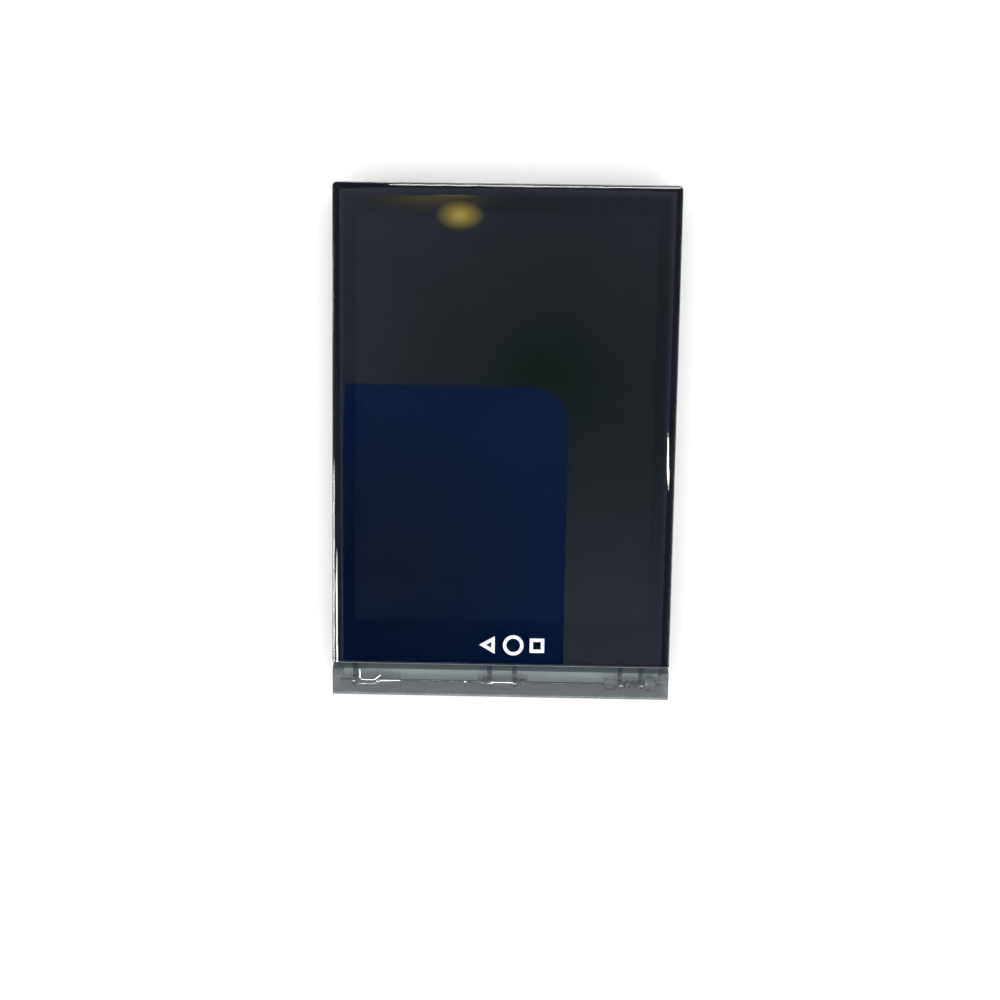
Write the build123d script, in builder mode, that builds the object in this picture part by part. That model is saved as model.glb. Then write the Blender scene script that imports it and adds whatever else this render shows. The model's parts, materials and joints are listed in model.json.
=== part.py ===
"""Pocket touch-screen assistant lying on its back: X to the right, Y up the screen, Z towards the viewer.

The origin is the centre of the footprint on the table. All sizes are in millimetres.
"""

import os

from build123d import *

os.makedirs("parts", exist_ok=True)

# ---- Driving dimensions -------------------------------------------------------------------------------------------

# Front glass
glass_width = 42.9
glass_height = 60.0
glass_thickness = 1.2
glass_corner = 0.8
glass_shoulder = 1.7        # width of the rounded shoulder on the left, top and right edges
glass_shoulder_drop = 0.75  # how far the shoulder falls at its outer edge
glass_bottom_bevel = 0.12

# Whole device
device_thickness = 9.5
door_depth = 4.35           # along Y, from its body side to its outer face
door_gap = 0.1              # between the glass's cut edge and the door

# Casing
casing_inset = 0.35         # the casing stands back under the glass on the left, top and right
end_wall_inset = 0.2        # the end wall stands forward of the glass's cut edge, towards the door
casing_corner = 0.7
wall = 1.1
back_thickness = 1.0
back_round = 2.0            # rounding of the back's left, top and right edges
shelf_thickness = 0.6
split_below_shelf = 0.6     # the rear cover meets the mid frame this far below the shelf
boss_radius = 1.6
boss_from_wall = 2.1        # boss axis from the inner face of the side wall
boss_clearance = 0.25

# Display stack
border_side = 2.75
border_top = 3.5
border_bottom = 5.3
ink_thickness = 0.05
adhesive_thickness = 0.1
adhesive_width = 0.8
touch_thickness = 0.2
panel_thickness = 1.1
guide_thickness = 0.6
tray_sheet = 0.15
stack_gap = 0.05
edge_gap = 0.2              # between a display layer and what surrounds it

# Port door and its hinge
pin_radius = 0.15
pin_from_outer_face = 1.5
door_top_below_glass = 0.9   # the door's flat top stands back from the glass's face
pin_below_door_top = 2.25
door_bottom = 0.35
door_plate = 1.3
door_cheek = 1.0
door_edge_round = 0.5
door_plan_corner = 0.5
hub_underside = 1.1         # below the pin
running_clearance = 0.03
press_clearance = 0.01
left_eye_from_end = 2.5
centre_eyes = [-1.46, 1.8]
right_eyes_from_end = [5.95, 3.25]
pocket_wall = 0.45          # left between a fitting's pocket and the outer face
eye_radius = 0.6
eye_thickness = 0.34
leg_thickness = 0.4
leg_offset = 0.05           # the leg's outer face from the pin axis, towards the casing
leg_drop = 3.6              # the leg's lower face below the pin
pocket_clearance = 0.13

# Boards and what stands on them
board_thickness = 0.8
board_below_shelf = 0.25
board_side_gap = 0.45
main_board_length = 17.2
bottom_board_length = 15.0
screw_radius = 0.6
screw_head_radius = 1.1
screw_head_height = 0.5
screw_from_edge = 1.3
thread_clearance = 0.02

# Battery
battery_side_gap = 1.5
battery_end_gap = 0.6
battery_top_gap = 0.25
battery_pad_thickness = 0.15

# Card and socket
card_width = 11.0
card_length = 15.0
card_thickness = 1.0
card_clearance = 0.1
card_proud = 0.2
card_below_board = 1.75
socket_from_boss = 0.15
socket_width = 14.0
socket_length = 14.6

# USB receptacle
usb_width = 8.94
usb_height = 3.16
usb_length = 7.35
usb_shell = 0.25
usb_hole_clearance = 0.12

# Keys
key_height = 1.7
key_below_board = 1.05       # the key's middle line
key_proud = 0.25
key_travel = 0.25
key_clearance = 0.1
key_flange = 0.45
key_flange_reach = 0.35
key_flange_rise = 0.1
power_key_length = 7.0
volume_key_length = 5.0
power_key_from_top = 11.5
volume_up_from_top = 9.0
volume_down_from_top = 15.0
switch_depth = 2.2
switch_half = 1.3
chips_from_switch = 4.0      # middle of the small packages, counted from the key switch

# ---- Places worked out from them ----------------------------------------------------------------------------------

device_length = glass_height + door_gap + door_depth
top_end = device_length / 2
glass_bottom = top_end - glass_height
door_body_side = glass_bottom - door_gap
door_outer = -device_length / 2
half_glass = glass_width / 2
glass_level = device_thickness - glass_thickness

casing_side = half_glass - casing_inset
casing_top = top_end - casing_inset
casing_end = glass_bottom + end_wall_inset
casing_width = 2 * casing_side
casing_length = casing_top - casing_end
casing_middle = (casing_top + casing_end) / 2
inner_side = casing_side - wall
inner_top = casing_top - wall
inner_end = casing_end + wall
adhesive_level = glass_level - ink_thickness - adhesive_thickness
touch_level = glass_level - ink_thickness - stack_gap - touch_thickness
panel_level = touch_level - stack_gap - panel_thickness
guide_level = panel_level - stack_gap - guide_thickness
shelf_top = guide_level - stack_gap - tray_sheet
shelf_level = shelf_top - shelf_thickness
split_level = shelf_level - split_below_shelf
boss_side = inner_side - boss_from_wall
boss_ends = [inner_end + boss_from_wall, inner_top - boss_from_wall]

window_width = glass_width - 2 * border_side
window_height = glass_height - border_top - border_bottom
window_middle = top_end - border_top - window_height / 2

pin_end = door_outer + pin_from_outer_face
door_top = device_thickness - door_top_below_glass
pin_level = door_top - pin_below_door_top
hub_radius = door_body_side - pin_end
door_side = half_glass
card_x = -boss_side + boss_radius + socket_from_boss + socket_width / 2
board_top = shelf_level - board_below_shelf
board_level = board_top - board_thickness
card_level = board_level - card_below_board
key_level = board_level - key_below_board
board_half = inner_side - board_side_gap
main_board_top = inner_top - board_side_gap
main_board_bottom = main_board_top - main_board_length
bottom_board_bottom = inner_end + board_side_gap
bottom_board_top = bottom_board_bottom + bottom_board_length
battery_half = inner_side - battery_side_gap
battery_bottom = bottom_board_top + battery_end_gap
battery_top = main_board_bottom - battery_end_gap
battery_level = back_thickness + battery_pad_thickness
parts_level = back_thickness + 0.15     # nothing inside stands nearer to the back than this

# Places of the fittings along the hinge pin: those at the ends are counted from the door's ends
left_eye = -door_side + left_eye_from_end
right_eyes = [door_side - distance for distance in right_eyes_from_end]
bracket_eyes = [left_eye] + centre_eyes + right_eyes
left_pocket = (left_eye - 0.45, left_eye + 6.05)
centre_pocket = (centre_eyes[0] - 1.49, centre_eyes[1] + 1.8)
right_pocket = (right_eyes[0] - 2.3, right_eyes[1] + 1.9)
pocket_radius = pin_from_outer_face - pocket_wall


def sign(value):
    """The side of the middle that a place is on."""
    return 1 if value > 0 else -1


def rectangle(x_low, x_high, y_low, y_high):
    """Draws a rectangle between two corners in the open sketch."""
    with Locations(((x_low + x_high) / 2, (y_low + y_high) / 2)):
        Rectangle(x_high - x_low, y_high - y_low)


def outline(inset, mode=Mode.ADD):
    """Draws the casing's plan outline in the open sketch, shrunk by inset on every side."""
    with Locations((0, casing_middle)):
        RectangleRounded(
            casing_width - 2 * inset,
            casing_length - 2 * inset,
            max(casing_corner - inset, 0.15),
            mode=mode,
        )


def block(x_low, x_high, y_low, y_high, z_low, z_high, mode=Mode.ADD):
    """Adds a box between two corners to the open part."""
    middle = ((x_low + x_high) / 2, (y_low + y_high) / 2, (z_low + z_high) / 2)
    with Locations(middle):
        Box(x_high - x_low, y_high - y_low, z_high - z_low, mode=mode)


def rod(x_low, x_high, radius, y=pin_end, z=pin_level, mode=Mode.ADD):
    """Adds a round bar along X to the open part."""
    with Locations(Location(((x_low + x_high) / 2, y, z), (0, 90, 0))):
        Cylinder(radius, x_high - x_low, mode=mode)


def save(piece, name):
    """Labels a finished piece and writes it."""
    piece.part.label = name
    export_step(piece.part, f"parts/{name}.step")


# ---- Front glass and display --------------------------------------------------------------------------------------

with BuildPart() as front_glass:
    with BuildSketch(Plane.XY.offset(glass_level)) as plan:
        rectangle(-half_glass, half_glass, glass_bottom, top_end)
        fillet(plan.vertices().group_by(Axis.Y)[-1], glass_corner)
    extrude(amount=glass_thickness)
    # The cross section falls away at both sides.
    with BuildSketch(Plane.XZ.offset(-top_end)):
        with BuildLine():
            flat = half_glass - glass_shoulder
            low = device_thickness - glass_shoulder_drop
            Polyline((-half_glass, low), (-half_glass, glass_level), (half_glass, glass_level), (half_glass, low))
            EllipticalCenterArc((flat, low), glass_shoulder, glass_shoulder_drop, 0, arc_size=90)
            Line((flat, device_thickness), (-flat, device_thickness))
            EllipticalCenterArc((-flat, low), glass_shoulder, glass_shoulder_drop, 90, arc_size=90)
        make_face()
    extrude(amount=glass_height, mode=Mode.INTERSECT)
    # The long section falls away at the top end only and is cut straight at the bottom.
    with BuildSketch(Plane.YZ.offset(-half_glass)):
        with BuildLine():
            flat = top_end - glass_shoulder
            Polyline(
                (flat, device_thickness),
                (glass_bottom + glass_bottom_bevel, device_thickness),
                (glass_bottom, device_thickness - glass_bottom_bevel),
                (glass_bottom, glass_level),
                (top_end, glass_level),
                (top_end, low),
            )
            EllipticalCenterArc((flat, low), glass_shoulder, glass_shoulder_drop, 0, arc_size=90)
        make_face()
    extrude(amount=glass_width, mode=Mode.INTERSECT)
save(front_glass, "front_glass")

with BuildPart() as ink_border:
    with BuildSketch(Plane.XY.offset(glass_level - ink_thickness)) as ink_plan:
        outline(0)
        with Locations((0, window_middle)):
            Rectangle(window_width, window_height, mode=Mode.SUBTRACT)
        rectangle(-casing_side, casing_side, casing_end - 1, glass_bottom)
    extrude(amount=ink_thickness)
    block(-glass_width, glass_width, glass_bottom - 5, glass_bottom, 0, device_thickness, mode=Mode.SUBTRACT)
save(ink_border, "ink_border")

with BuildPart() as glass_adhesive:
    with BuildSketch(Plane.XY.offset(adhesive_level)):
        outline(0.15)
        outline(0.15 + adhesive_width, mode=Mode.SUBTRACT)
    extrude(amount=adhesive_thickness)
save(glass_adhesive, "glass_adhesive")

tray_half = inner_side - edge_gap
tray_top = inner_top - edge_gap
tray_bottom = inner_end + 1.9
layer_half = tray_half - tray_sheet - edge_gap
layer_top = tray_top - tray_sheet - edge_gap

with BuildPart() as touch_sensor:
    with BuildSketch(Plane.XY.offset(touch_level)):
        rectangle(-tray_half, tray_half, inner_end + 0.5, tray_top)
    extrude(amount=touch_thickness)
save(touch_sensor, "touch_sensor")

with BuildPart() as lcd_panel:
    with BuildSketch(Plane.XY.offset(panel_level)):
        rectangle(-layer_half, layer_half, tray_bottom, layer_top)
    extrude(amount=panel_thickness)
save(lcd_panel, "lcd_panel")

with BuildPart() as backlight_guide:
    with BuildSketch(Plane.XY.offset(guide_level)):
        rectangle(-layer_half, layer_half, tray_bottom + 0.8, layer_top)
    extrude(amount=guide_thickness)
    # The lamp strip's notches along the bottom edge.
    with BuildSketch(Plane.XY.offset(guide_level)):
        with Locations((0, tray_bottom + 0.8)):
            with GridLocations(layer_half / 3, 1, 5, 1):
                Rectangle(2.0, 0.8)
    extrude(amount=guide_thickness, mode=Mode.SUBTRACT)
save(backlight_guide, "backlight_guide")

with BuildPart() as display_tray:
    block(-tray_half, tray_half, tray_bottom, tray_top, shelf_top, panel_level + 0.6)
    block(
        -tray_half + tray_sheet,
        tray_half - tray_sheet,
        tray_bottom - 1,
        tray_top - tray_sheet,
        shelf_top + tray_sheet,
        device_thickness,
        mode=Mode.SUBTRACT,
    )
save(display_tray, "display_tray")

flex_half = 6.0
flex_sheet = 0.15
chip_half = 4.6
chip_length = 0.75
chip_height = 0.5
touch_flex_x = -layer_half + 6.5
touch_flex_half = 3.0
connector_height = 0.75
flex_turn = tray_bottom - 1.25
with BuildPart() as display_flex:
    block(-flex_half, flex_half, flex_turn, tray_bottom, panel_level, panel_level + flex_sheet)
    block(
        -flex_half,
        flex_half,
        flex_turn - flex_sheet,
        flex_turn,
        board_top + connector_height,
        panel_level + flex_sheet,
    )
save(display_flex, "display_flex")

with BuildPart() as display_driver_chip:
    block(
        -chip_half,
        chip_half,
        tray_bottom - 0.2 - chip_length,
        tray_bottom - 0.2,
        panel_level + flex_sheet,
        panel_level + flex_sheet + chip_height,
    )
    chamfer(display_driver_chip.faces().sort_by(Axis.Z)[-1].edges(), 0.06)
save(display_driver_chip, "display_driver_chip")

touch_turn = inner_end + 0.5
with BuildPart() as touch_flex:
    block(
        touch_flex_x - touch_flex_half,
        touch_flex_x + touch_flex_half,
        touch_turn - flex_sheet,
        touch_turn,
        board_top + connector_height,
        touch_level + touch_thickness,
    )
save(touch_flex, "touch_flex")

connector_back = 1.15
with BuildPart() as flex_connectors:
    block(
        -flex_half,
        flex_half,
        flex_turn - flex_sheet,
        flex_turn - flex_sheet + connector_back,
        board_top,
        board_top + connector_height,
    )
    block(
        touch_flex_x - touch_flex_half,
        touch_flex_x + touch_flex_half,
        touch_turn - flex_sheet,
        touch_turn - flex_sheet + connector_back,
        board_top,
        board_top + connector_height,
    )
save(flex_connectors, "flex_connectors")

# ---- Casing -------------------------------------------------------------------------------------------------------

case_screw_radius = 0.5
case_screw_head = 1.15
case_head_sink = 0.25
case_head_height = 0.8
boss_places = [(side * boss_side, end) for side in (-1, 1) for end in boss_ends]
board_screw_y = [bottom_board_top - screw_from_edge, main_board_bottom + screw_from_edge]
board_screw_places = [(side * (board_half - 1.6), y) for side in (-1, 1) for y in board_screw_y]

key_places = {
    "power_key": (1, casing_top - power_key_from_top, power_key_length),
    "volume_up_key": (-1, casing_top - volume_up_from_top, volume_key_length),
    "volume_down_key": (-1, casing_top - volume_down_from_top, volume_key_length),
}

# USB receptacle, hanging under the main board with its mouth in the top wall
usb_mouth = casing_top - 0.25
usb_back = usb_mouth - usb_length
usb_centre = board_level - usb_height / 2

speaker_x = inner_side - 9.9
speaker_width = 11.4
speaker_length = 8.6
speaker_height = 2.8
speaker_bottom = inner_end + 1.4
speaker_middle = speaker_bottom + speaker_length / 2
grille_radius = 0.5
grille_pitch = 1.7
mic_x = inner_side - 11.0
mic_width = 3.4
mic_hole_radius = 0.4
mic_level = board_level - 0.6

with BuildPart() as mid_frame:
    with BuildSketch(Plane.XY.offset(split_level)):
        outline(0)
        outline(wall, mode=Mode.SUBTRACT)
    extrude(amount=adhesive_level - split_level)
    with BuildSketch(Plane.XY.offset(shelf_level)):
        outline(wall - 0.05)
    extrude(amount=shelf_thickness)
    # Bosses that the case screws and the board screws reach into
    with BuildSketch(Plane.XY.offset(split_level)):
        with Locations(*boss_places):
            Circle(boss_radius)
    extrude(amount=shelf_level - split_level)
    with BuildSketch(Plane.XY.offset(board_top)):
        with Locations(*board_screw_places):
            Circle(screw_head_radius)
    extrude(amount=shelf_level - board_top)
    with Locations(*[(x, y, split_level) for x, y in boss_places]):
        Cylinder(
            case_screw_radius + thread_clearance,
            2 * (shelf_top - 0.1 - split_level),
            mode=Mode.SUBTRACT,
        )
    with Locations(*[(x, y, board_top) for x, y in board_screw_places]):
        Cylinder(screw_radius + thread_clearance, 2 * (shelf_top - 0.1 - board_top), mode=Mode.SUBTRACT)
    # Slots in the shelf for the two flexes and their connectors
    block(
        -flex_half - edge_gap,
        flex_half + edge_gap,
        flex_turn - flex_sheet - edge_gap,
        flex_turn + connector_back,
        split_level,
        shelf_top + 0.1,
        mode=Mode.SUBTRACT,
    )
    block(
        touch_flex_x - touch_flex_half - edge_gap,
        touch_flex_x + touch_flex_half + edge_gap,
        touch_turn - flex_sheet - edge_gap,
        touch_turn + connector_back,
        split_level,
        shelf_top + 0.1,
        mode=Mode.SUBTRACT,
    )
    # A fine step runs round the outside of the split.
    with BuildSketch(Plane.XY.offset(split_level)):
        outline(0)
        outline(0.12, mode=Mode.SUBTRACT)
    extrude(amount=0.15, mode=Mode.SUBTRACT)
save(mid_frame, "mid_frame")

gasket_width = 0.4
gasket_height = 0.3
lip_end = door_outer + door_plate + 0.2
lip_half = door_side - door_cheek - 0.25
bracket_foot = 0.3
bracket_leg_low = pin_level - leg_drop
bracket_leg_high = bracket_leg_low + leg_thickness
with BuildPart() as rear_cover:
    with BuildSketch(Plane.XY):
        outline(0)
    extrude(amount=split_level)
    # The back's left, top and right edges are rounded; the door end is cut straight.
    with BuildSketch(Plane.XZ.offset(-casing_top)) as section:
        rectangle(-casing_side, casing_side, 0, split_level)
        fillet(section.vertices().group_by(Axis.Y)[0], back_round)
    extrude(amount=casing_length, mode=Mode.INTERSECT)
    with BuildSketch(Plane.YZ.offset(-casing_side)) as section:
        rectangle(casing_end, casing_top, 0, split_level)
        fillet(section.vertices().group_by(Axis.Y)[0].sort_by(Axis.X)[-1], back_round)
    extrude(amount=casing_width, mode=Mode.INTERSECT)
    with BuildSketch(Plane.XY.offset(back_thickness)):
        outline(wall)
    extrude(amount=split_level, mode=Mode.SUBTRACT)
    # The lip that closes the back below the door
    block(-lip_half, lip_half, lip_end, casing_end, 0, back_thickness)
    chamfer(rear_cover.edges().filter_by(Axis.X).group_by(Axis.Y)[0].sort_by(Axis.Z)[0], 0.3)
    with BuildSketch(Plane.XY.offset(back_thickness)):
        with Locations(*boss_places):
            Circle(boss_radius)
    extrude(amount=split_level - back_thickness)
    with Locations(*[(x, y, 0) for x, y in boss_places]):
        Cylinder(case_screw_head + 0.1, 2 * (case_head_sink + case_head_height), mode=Mode.SUBTRACT)
        Cylinder(case_screw_radius + thread_clearance, 3 * split_level, mode=Mode.SUBTRACT)
    # Gasket groove in the rim
    with BuildSketch(Plane.XY.offset(split_level - gasket_height)):
        outline((wall - gasket_width) / 2)
        outline((wall + gasket_width) / 2, mode=Mode.SUBTRACT)
    extrude(amount=gasket_height, mode=Mode.SUBTRACT)
    # Key slots
    for side, key_y, length in key_places.values():
        block(
            side * casing_side - 1.5 * wall,
            side * casing_side + 1.5 * wall,
            key_y - length / 2 - key_clearance,
            key_y + length / 2 + key_clearance,
            key_level - key_height / 2 - key_clearance,
            key_level + key_height / 2 + key_clearance,
            mode=Mode.SUBTRACT,
        )
    # USB hole in the top wall
    with BuildSketch(Plane.XZ.offset(-casing_top - 1)):
        with Locations((0, usb_centre)):
            RectangleRounded(
                usb_width + 2 * usb_hole_clearance,
                usb_height + 2 * usb_hole_clearance,
                usb_height / 2 - 0.1,
            )
    extrude(amount=wall + 2, mode=Mode.SUBTRACT)
    # Microphone hole beside it
    with Locations(Location((mic_x, casing_top, mic_level), (90, 0, 0))):
        Cylinder(mic_hole_radius, 3 * wall, mode=Mode.SUBTRACT)
    # Card slot in the end wall
    block(
        card_x - card_width / 2 - 0.2,
        card_x + card_width / 2 + 0.2,
        casing_end - 0.5,
        inner_end + 0.5,
        card_level - 0.2,
        card_level + card_thickness + 0.2,
        mode=Mode.SUBTRACT,
    )
    # Slots in the end wall that the hinge brackets pass through
    for eye_x in bracket_eyes:
        block(
            eye_x - eye_thickness / 2,
            eye_x + eye_thickness / 2,
            casing_end - 0.5,
            inner_end + 0.5,
            bracket_leg_low,
            bracket_leg_high,
            mode=Mode.SUBTRACT,
        )
    # Speaker grille
    with BuildSketch(Plane.XY):
        with Locations((speaker_x, speaker_middle)):
            with GridLocations(grille_pitch, grille_pitch, 5, 3):
                Circle(grille_radius)
    extrude(amount=back_thickness, mode=Mode.SUBTRACT)
save(rear_cover, "rear_cover")

with BuildPart() as rear_gasket:
    with BuildSketch(Plane.XY.offset(split_level - gasket_height)):
        outline((wall - gasket_width) / 2)
        outline((wall + gasket_width) / 2, mode=Mode.SUBTRACT)
    extrude(amount=gasket_height)
save(rear_gasket, "rear_gasket")

with BuildPart() as case_screws:
    shank_top = shelf_top - 0.2
    head_top = case_head_sink + case_head_height
    with Locations(*[(x, y, 0) for x, y in boss_places]):
        with Locations((0, 0, (case_head_sink + head_top) / 2)):
            Cylinder(case_screw_head, case_head_height)
        with Locations((0, 0, (head_top + shank_top) / 2)):
            Cylinder(case_screw_radius, shank_top - head_top)
        # Cross recess
        with Locations((0, 0, case_head_sink)):
            Box(1.5, 0.32, 0.7, mode=Mode.SUBTRACT)
            Box(0.32, 1.5, 0.7, mode=Mode.SUBTRACT)
save(case_screws, "case_screws")

# ---- Door and hinge -----------------------------------------------------------------------------------------------

door_top_above_pin = door_top - pin_level
door_bottom_below_pin = pin_level - door_bottom


clip_wire = 0.14
clip_level = pin_level + pin_radius + clip_wire + 0.05
upright_x = left_eye + 0.85
upright_length = 1.45
with BuildPart() as card_door:
    # Upper part with the round side towards the casing
    with BuildSketch(Plane.YZ.offset(-door_side)) as upper:
        with BuildLine():
            flat_end = pin_end + (hub_radius**2 - door_top_above_pin**2) ** 0.5
            low = pin_level - hub_underside
            side_low = pin_end + (hub_radius**2 - hub_underside**2) ** 0.5
            Polyline((side_low, low), (door_outer, low), (door_outer, door_top), (flat_end, door_top))
            ThreePointArc((flat_end, door_top), (pin_end + hub_radius, pin_level), (side_low, low))
        make_face()
        fillet(upper.vertices().group_by(Axis.Y)[-1].sort_by(Axis.X)[0], door_edge_round)
    extrude(amount=2 * door_side)
    # Outer plate that hangs down to the back
    with BuildSketch(Plane.YZ.offset(-door_side)) as plate:
        rectangle(door_outer, door_outer + door_plate, door_bottom, pin_level)
        fillet(plate.vertices().group_by(Axis.Y)[0].sort_by(Axis.X)[0], door_edge_round)
    extrude(amount=2 * door_side)
    # Cheeks that close both ends
    for side in (-1, 1):
        inner_face = side * (door_side - door_cheek)
        cheek_start = min(inner_face, side * door_side)
        cheek_low = pin_level - (door_bottom_below_pin**2 - hub_radius**2) ** 0.5
        with BuildSketch(Plane.YZ.offset(cheek_start)):
            with BuildLine():
                Polyline(
                    (pin_end, door_bottom),
                    (pin_end - 0.5, door_bottom + 0.3),
                    (pin_end - 0.5, pin_level),
                    (pin_end + hub_radius, pin_level),
                    (pin_end + hub_radius, cheek_low),
                )
                RadiusArc((pin_end + hub_radius, cheek_low), (pin_end, door_bottom), door_bottom_below_pin)
            make_face()
        extrude(amount=door_cheek)
    # The outer corners are rounded in plan.
    with BuildSketch(Plane.XY) as door_plan:
        rectangle(-door_side, door_side, door_outer, glass_bottom)
        fillet(door_plan.vertices().group_by(Axis.Y)[0], door_plan_corner)
    extrude(amount=device_thickness, mode=Mode.INTERSECT)
    # Bore for the hinge pin
    rod(-door_side + 0.6, door_side - 0.6, pin_radius + press_clearance, mode=Mode.SUBTRACT)
    # Pockets round the fittings
    for x_low, x_high in (left_pocket, centre_pocket, right_pocket):
        rod(x_low, x_high, pocket_radius, mode=Mode.SUBTRACT)
    # Room for the clip's upright
    block(
        upright_x - 0.3,
        upright_x + 0.3,
        pin_end,
        pin_end + upright_length + 0.25,
        pin_level + 0.1,
        clip_level + clip_wire + pocket_clearance,
        mode=Mode.SUBTRACT,
    )
    # Slots that let the bracket legs through as the door swings
    for eye_x in bracket_eyes:
        block(
            eye_x - eye_thickness / 2 - pocket_clearance,
            eye_x + eye_thickness / 2 + pocket_clearance,
            pin_end - 0.1,
            pin_end + hub_radius + 0.1,
            pin_level - hub_underside - 0.1,
            pin_level + leg_offset + leg_thickness + pocket_clearance,
            mode=Mode.SUBTRACT,
        )
    # Finger-nail notch in the lower edge
    with Locations((0, door_outer, door_bottom)):
        with Locations(Location((0, 0, 0), (0, 90, 0))):
            Cylinder(0.45, 9.0, mode=Mode.SUBTRACT)
save(card_door, "card_door")

seal_thickness = 0.14
with BuildPart() as door_seal:
    block(
        -lip_half + 0.5,
        lip_half - 0.5,
        door_outer + door_plate,
        door_outer + door_plate + seal_thickness,
        door_bottom + 0.05,
        back_thickness + 0.9,
    )
save(door_seal, "door_seal")

ring_half_length = 0.9
ring_half_width = 0.72
ring_wire = 0.1
ring_centre = right_eyes[0] - 1.22
with BuildPart() as hinge_pin:
    rod(-door_side + 0.7, ring_centre - ring_half_length + 0.05, pin_radius)
    rod(ring_centre + ring_half_length - 0.05, door_side - 0.7, pin_radius)
    # The eye formed in the wire
    with BuildSketch(Plane.XY.offset(pin_level)) as eye_plan:
        with Locations((ring_centre, pin_end)):
            Ellipse(ring_half_length + ring_wire, ring_half_width + ring_wire)
            Ellipse(ring_half_length - ring_wire, ring_half_width - ring_wire, mode=Mode.SUBTRACT)
    extrude(amount=ring_wire, both=True)
save(hinge_pin, "hinge_pin")

ferrule_start = left_eye + 2.95
ferrule_end = left_eye + 5.95
with BuildPart() as door_clip:
    # Upright and foot, rising again at the right
    with BuildLine() as upper_wire:
        FilletPolyline(
            (upright_x, pin_end + upright_length, clip_level),
            (upright_x, pin_end + 0.1, clip_level),
            (upright_x + 1.8, pin_end + 0.1, clip_level),
            (upright_x + 2.6, pin_end + 0.8, clip_level),
            radius=0.3,
        )
    with BuildSketch(Plane(origin=upper_wire.line @ 0, z_dir=upper_wire.line % 0)):
        Circle(clip_wire)
    sweep(path=upper_wire.line)
    # Lower bar
    with BuildLine() as lower_wire:
        FilletPolyline(
            (upright_x - 0.35, pin_end - 0.5, clip_level),
            (upright_x + 2.1, pin_end - 0.42, clip_level),
            (upright_x + 2.75, pin_end + 0.1, clip_level),
            radius=0.3,
        )
    with BuildSketch(Plane(origin=lower_wire.line @ 0, z_dir=lower_wire.line % 0)):
        Circle(clip_wire)
    sweep(path=lower_wire.line)
    # Tapered ferrule on the pin that both wires end in
    with BuildSketch(Plane.YZ.offset(ferrule_start)):
        with Locations((pin_end, pin_level)):
            Circle(0.42)
    with BuildSketch(Plane.YZ.offset(ferrule_end)):
        with Locations((pin_end, pin_level)):
            Circle(pin_radius + 0.06)
    loft()
    rod(ferrule_start - 1, ferrule_end + 1, pin_radius + press_clearance, mode=Mode.SUBTRACT)
save(door_clip, "door_clip")

with BuildPart() as pin_sleeve:
    sleeve_low = centre_eyes[0] + eye_thickness / 2 + 0.06
    sleeve_high = centre_eyes[1] - eye_thickness / 2 - 0.06
    rod(sleeve_low, sleeve_high, 0.24)
    rod(sleeve_low, sleeve_low + 0.2, 0.42)
    rod(sleeve_low - 1, sleeve_high + 1, pin_radius + press_clearance, mode=Mode.SUBTRACT)
save(pin_sleeve, "pin_sleeve")

with BuildPart() as pin_collars:
    low = centre_eyes[0] - eye_thickness / 2
    high = centre_eyes[1] + eye_thickness / 2
    rod(low - 0.67, low - 0.43, 0.58)
    rod(low - 1.12, low - 0.87, 0.3)
    rod(high + 0.15, high + 0.33, 0.45)
    # Hexagon nut at the right of the sleeve
    with BuildSketch(Plane.YZ.offset(high + 0.53)):
        with Locations((pin_end, pin_level)):
            RegularPolygon(0.42, 6)
    extrude(amount=0.7)
    rod(low - 2, high + 2, pin_radius + press_clearance, mode=Mode.SUBTRACT)
save(pin_collars, "pin_collars")

coil_radius = 0.42
coil_wire = 0.11
coil_start = right_eyes[0] + eye_thickness / 2 + coil_wire + 0.07
coil_end = right_eyes[1] - eye_thickness / 2 - coil_wire - 0.17
coil_turns = 2.7
coil_length = coil_end - coil_start
with BuildPart() as door_spring:
    with BuildLine() as coil:
        Helix(
            coil_length / coil_turns,
            coil_length,
            coil_radius,
            center=(coil_start, pin_end, pin_level),
            direction=(1, 0, 0),
        )
    with BuildSketch(Plane(origin=coil.line @ 0, z_dir=coil.line % 0)):
        Circle(coil_wire)
    sweep(path=coil.line, is_frenet=True)
save(door_spring, "door_spring")

with BuildPart() as spring_plate:
    plate_x = right_eyes[1] + eye_thickness / 2 + 0.23
    block(plate_x, plate_x + 1.3, pin_end - 0.2, pin_end + 0.8, pin_level - 0.35, pin_level + 0.35)
    rod(plate_x - 1, plate_x + 2, pin_radius + press_clearance, mode=Mode.SUBTRACT)
    # Bent tab below the pin
    block(
        plate_x + 0.15,
        plate_x + 0.75,
        pin_end - 0.78,
        pin_end - 0.2,
        pin_level + 0.1,
        pin_level + 0.3,
    )
save(spring_plate, "spring_plate")

with BuildPart() as hinge_brackets:
    for eye_x in bracket_eyes:
        low = eye_x - eye_thickness / 2
        high = eye_x + eye_thickness / 2
        rod(low, high, eye_radius)
        block(
            low,
            high,
            pin_end + leg_offset,
            pin_end + leg_offset + leg_thickness,
            bracket_leg_low,
            pin_level,
        )
        block(low, high, pin_end + leg_offset, inner_end + bracket_foot, bracket_leg_low, bracket_leg_high)
        block(
            low,
            high,
            inner_end,
            inner_end + bracket_foot,
            bracket_leg_low - 0.6,
            bracket_leg_high + 0.6,
        )
        rod(low - 0.1, high + 0.1, pin_radius + running_clearance, mode=Mode.SUBTRACT)
save(hinge_brackets, "hinge_brackets")

# ---- Boards -------------------------------------------------------------------------------------------------------


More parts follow.
